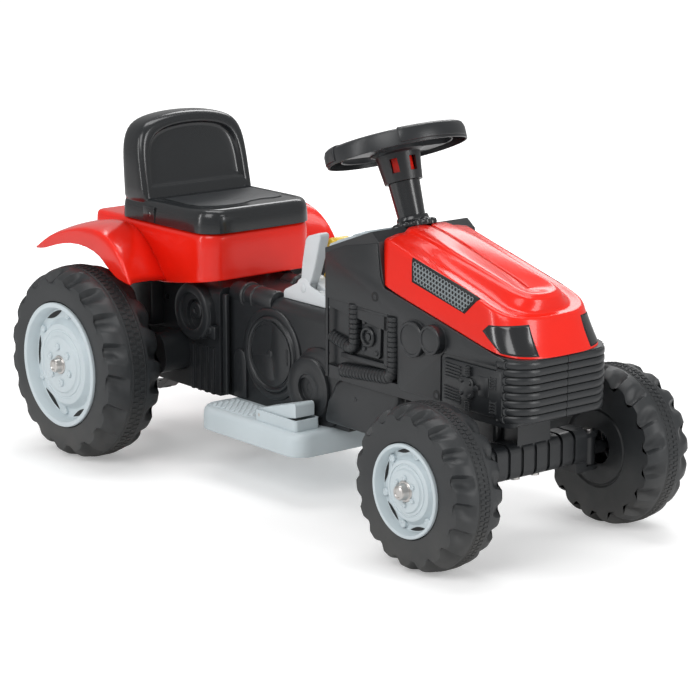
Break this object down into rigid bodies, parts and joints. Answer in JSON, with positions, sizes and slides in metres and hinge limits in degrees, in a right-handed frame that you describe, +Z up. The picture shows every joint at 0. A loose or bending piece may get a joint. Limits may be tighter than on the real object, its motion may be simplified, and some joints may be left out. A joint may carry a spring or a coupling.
{
  "type": "ride on tractor toy",
  "caption": "Battery ride-on toy tractor with red hood and fender, black body, steered front wheels, geared rear wheel, foot pedal, levers and a steering wheel with a horn pad.",
  "frame": {"origin": "on the floor, in the middle of the bounding box's length and width", "axes": "+X towards the tractor's nose, +Y to the rider's left, +Z up"},
  "size_m": [1.02, 0.5262, 0.5569],
  "materials": {
    "red_plastic": "glossy moulded",
    "black_plastic": "satin moulded",
    "seat_plastic": "glossy moulded",
    "grey_plastic": "satin moulded",
    "white_plastic": "satin moulded",
    "yellow_plastic": "glossy moulded",
    "tyre_plastic": "satin blow moulded",
    "band_rubber": "matte",
    "steel": "zinc plated",
    "lamp_plastic": "glossy moulded",
    "mesh_grey": "satin moulded",
    "gear_nylon": "natural",
    "battery_case": "moulded",
    "wire_rubber": "matte"
  },
  "bodies": {
    "chassis": {"chassis_right": "black_plastic", "chassis_left": "black_plastic", "body_screws": "steel", "hood": "red_plastic", "headlights": "lamp_plastic", "vent_meshes": "mesh_grey", "dash_panel": "grey_plastic", "charge_socket": "black_plastic", "fender": "red_plastic", "seat": "seat_plastic", "seat_screws": "steel", "footrest": "grey_plastic", "footrest_screws": "steel", "pedal_frame": "grey_plastic", "pedal_pin": "steel", "pedal_spring": "steel", "lever_bracket": "white_plastic", "lever_pin": "steel", "column_tube": "black_plastic", "column_collar": "black_plastic", "rod_bushes": "black_plastic", "axle_beam": "black_plastic", "beam_bolts": "steel", "kingpins": "steel", "rear_axle": "steel", "axle_bushes": "black_plastic", "rear_axle_nuts": "steel", "gearbox_case": "black_plastic", "motor": "steel", "battery": "battery_case", "tow_hitch": "black_plastic", "wiring_loom": "wire_rubber"},
    "steering": {"steering_rim": "black_plastic", "steering_hub": "black_plastic", "steering_rod": "steel", "horn_spring": "steel"},
    "horn": {"horn_pad": "red_plastic"},
    "tie_rod": {"tie_rod": "black_plastic"},
    "knuckle_right": {"knuckle_right": "black_plastic", "front_nut_right": "steel"},
    "knuckle_left": {"knuckle_left": "black_plastic", "front_nut_left": "steel"},
    "front_wheel_right": {"front_tyre_right": "tyre_plastic", "front_band_right": "band_rubber", "front_rim_right": "grey_plastic"},
    "front_wheel_left": {"front_tyre_left": "tyre_plastic", "front_band_left": "band_rubber", "front_rim_left": "grey_plastic"},
    "rear_wheel_right": {"rear_tyre_right": "tyre_plastic", "rear_band_right": "band_rubber", "rear_rim_right": "grey_plastic", "drive_gear": "gear_nylon"},
    "rear_wheel_left": {"rear_tyre_left": "tyre_plastic", "rear_band_left": "band_rubber", "rear_rim_left": "grey_plastic"},
    "idler": {"idler_gear": "gear_nylon"},
    "rotor": {"motor_pinion": "gear_nylon"},
    "pedal": {"pedal": "grey_plastic"},
    "gear_lever": {"gear_lever": "white_plastic"},
    "play_lever": {"play_lever": "yellow_plastic"}
  },
  "joints": [
    {"name": "steering_turn", "type": "hinge", "parent": "chassis", "child": "steering", "pos_m": [0.125, 0, 0.514], "axis": [-0.342, 0, 0.9397], "range_deg": [-30, 30]},
    {"name": "horn_press", "type": "slide", "parent": "steering", "child": "horn", "axis": [-0.342, 0, 0.9397], "range_m": [-0.003, 0], "stiffness_N_per_m": 500, "springref_m": 0.003, "deforming": ["horn_spring"]},
    {"name": "tie_rod_slide", "type": "slide", "parent": "chassis", "child": "tie_rod", "axis": [0, 1, 0], "range_m": [-0.0149, 0.0149]},
    {"name": "knuckle_right_turn", "type": "hinge", "parent": "chassis", "child": "knuckle_right", "pos_m": [0.397, -0.118, 0.113], "axis": [0, 0, 1], "range_deg": [-25.5, 25.5]},
    {"name": "knuckle_left_turn", "type": "hinge", "parent": "chassis", "child": "knuckle_left", "pos_m": [0.397, 0.118, 0.113], "axis": [0, 0, 1], "range_deg": [-25.5, 25.5]},
    {"name": "front_wheel_right_spin", "type": "hinge", "parent": "knuckle_right", "child": "front_wheel_right", "pos_m": [0.397, -0.172, 0.113], "axis": [0, 1, 0], "continuous": true},
    {"name": "front_wheel_left_spin", "type": "hinge", "parent": "knuckle_left", "child": "front_wheel_left", "pos_m": [0.397, 0.172, 0.113], "axis": [0, 1, 0], "continuous": true},
    {"name": "rear_wheel_right_spin", "type": "hinge", "parent": "chassis", "child": "rear_wheel_right", "pos_m": [-0.363, -0.204, 0.147], "axis": [0, 1, 0], "continuous": true},
    {"name": "rear_wheel_left_spin", "type": "hinge", "parent": "chassis", "child": "rear_wheel_left", "pos_m": [-0.363, 0.204, 0.147], "axis": [0, 1, 0], "continuous": true},
    {"name": "idler_spin", "type": "hinge", "parent": "chassis", "child": "idler", "pos_m": [-0.32459, -0.1, 0.15377], "axis": [0, 1, 0], "continuous": true},
    {"name": "motor_spin", "type": "hinge", "parent": "chassis", "child": "rotor", "pos_m": [-0.29062, -0.1, 0.15976], "axis": [0, 1, 0], "continuous": true},
    {"name": "pedal_press", "type": "hinge", "parent": "chassis", "child": "pedal", "pos_m": [-0.035, -0.1, 0.114], "axis": [0, 1, 0], "range_deg": [0, 8], "stiffness_Nm_per_rad": 1.5, "springref_deg": -8.59, "deforming": ["pedal_spring"]},
    {"name": "gear_lever_swing", "type": "hinge", "parent": "chassis", "child": "gear_lever", "pos_m": [-0.029, 0, 0.292], "axis": [0, 1, 0], "range_deg": [-40, 12]},
    {"name": "play_lever_swing", "type": "hinge", "parent": "chassis", "child": "play_lever", "pos_m": [-0.029, 0, 0.292], "axis": [0, 1, 0], "range_deg": [-40, 12]}
  ],
  "couplings": [
    {"joint": "tie_rod_slide", "follows": "steering_turn", "m_per_rad": -0.028266},
    {"joint": "knuckle_right_turn", "follows": "steering_turn", "ratio": 0.83333},
    {"joint": "knuckle_left_turn", "follows": "steering_turn", "ratio": 0.83333},
    {"joint": "idler_spin", "follows": "rear_wheel_right_spin", "ratio": -3.3333},
    {"joint": "motor_spin", "follows": "rear_wheel_right_spin", "ratio": 12}
  ]
}
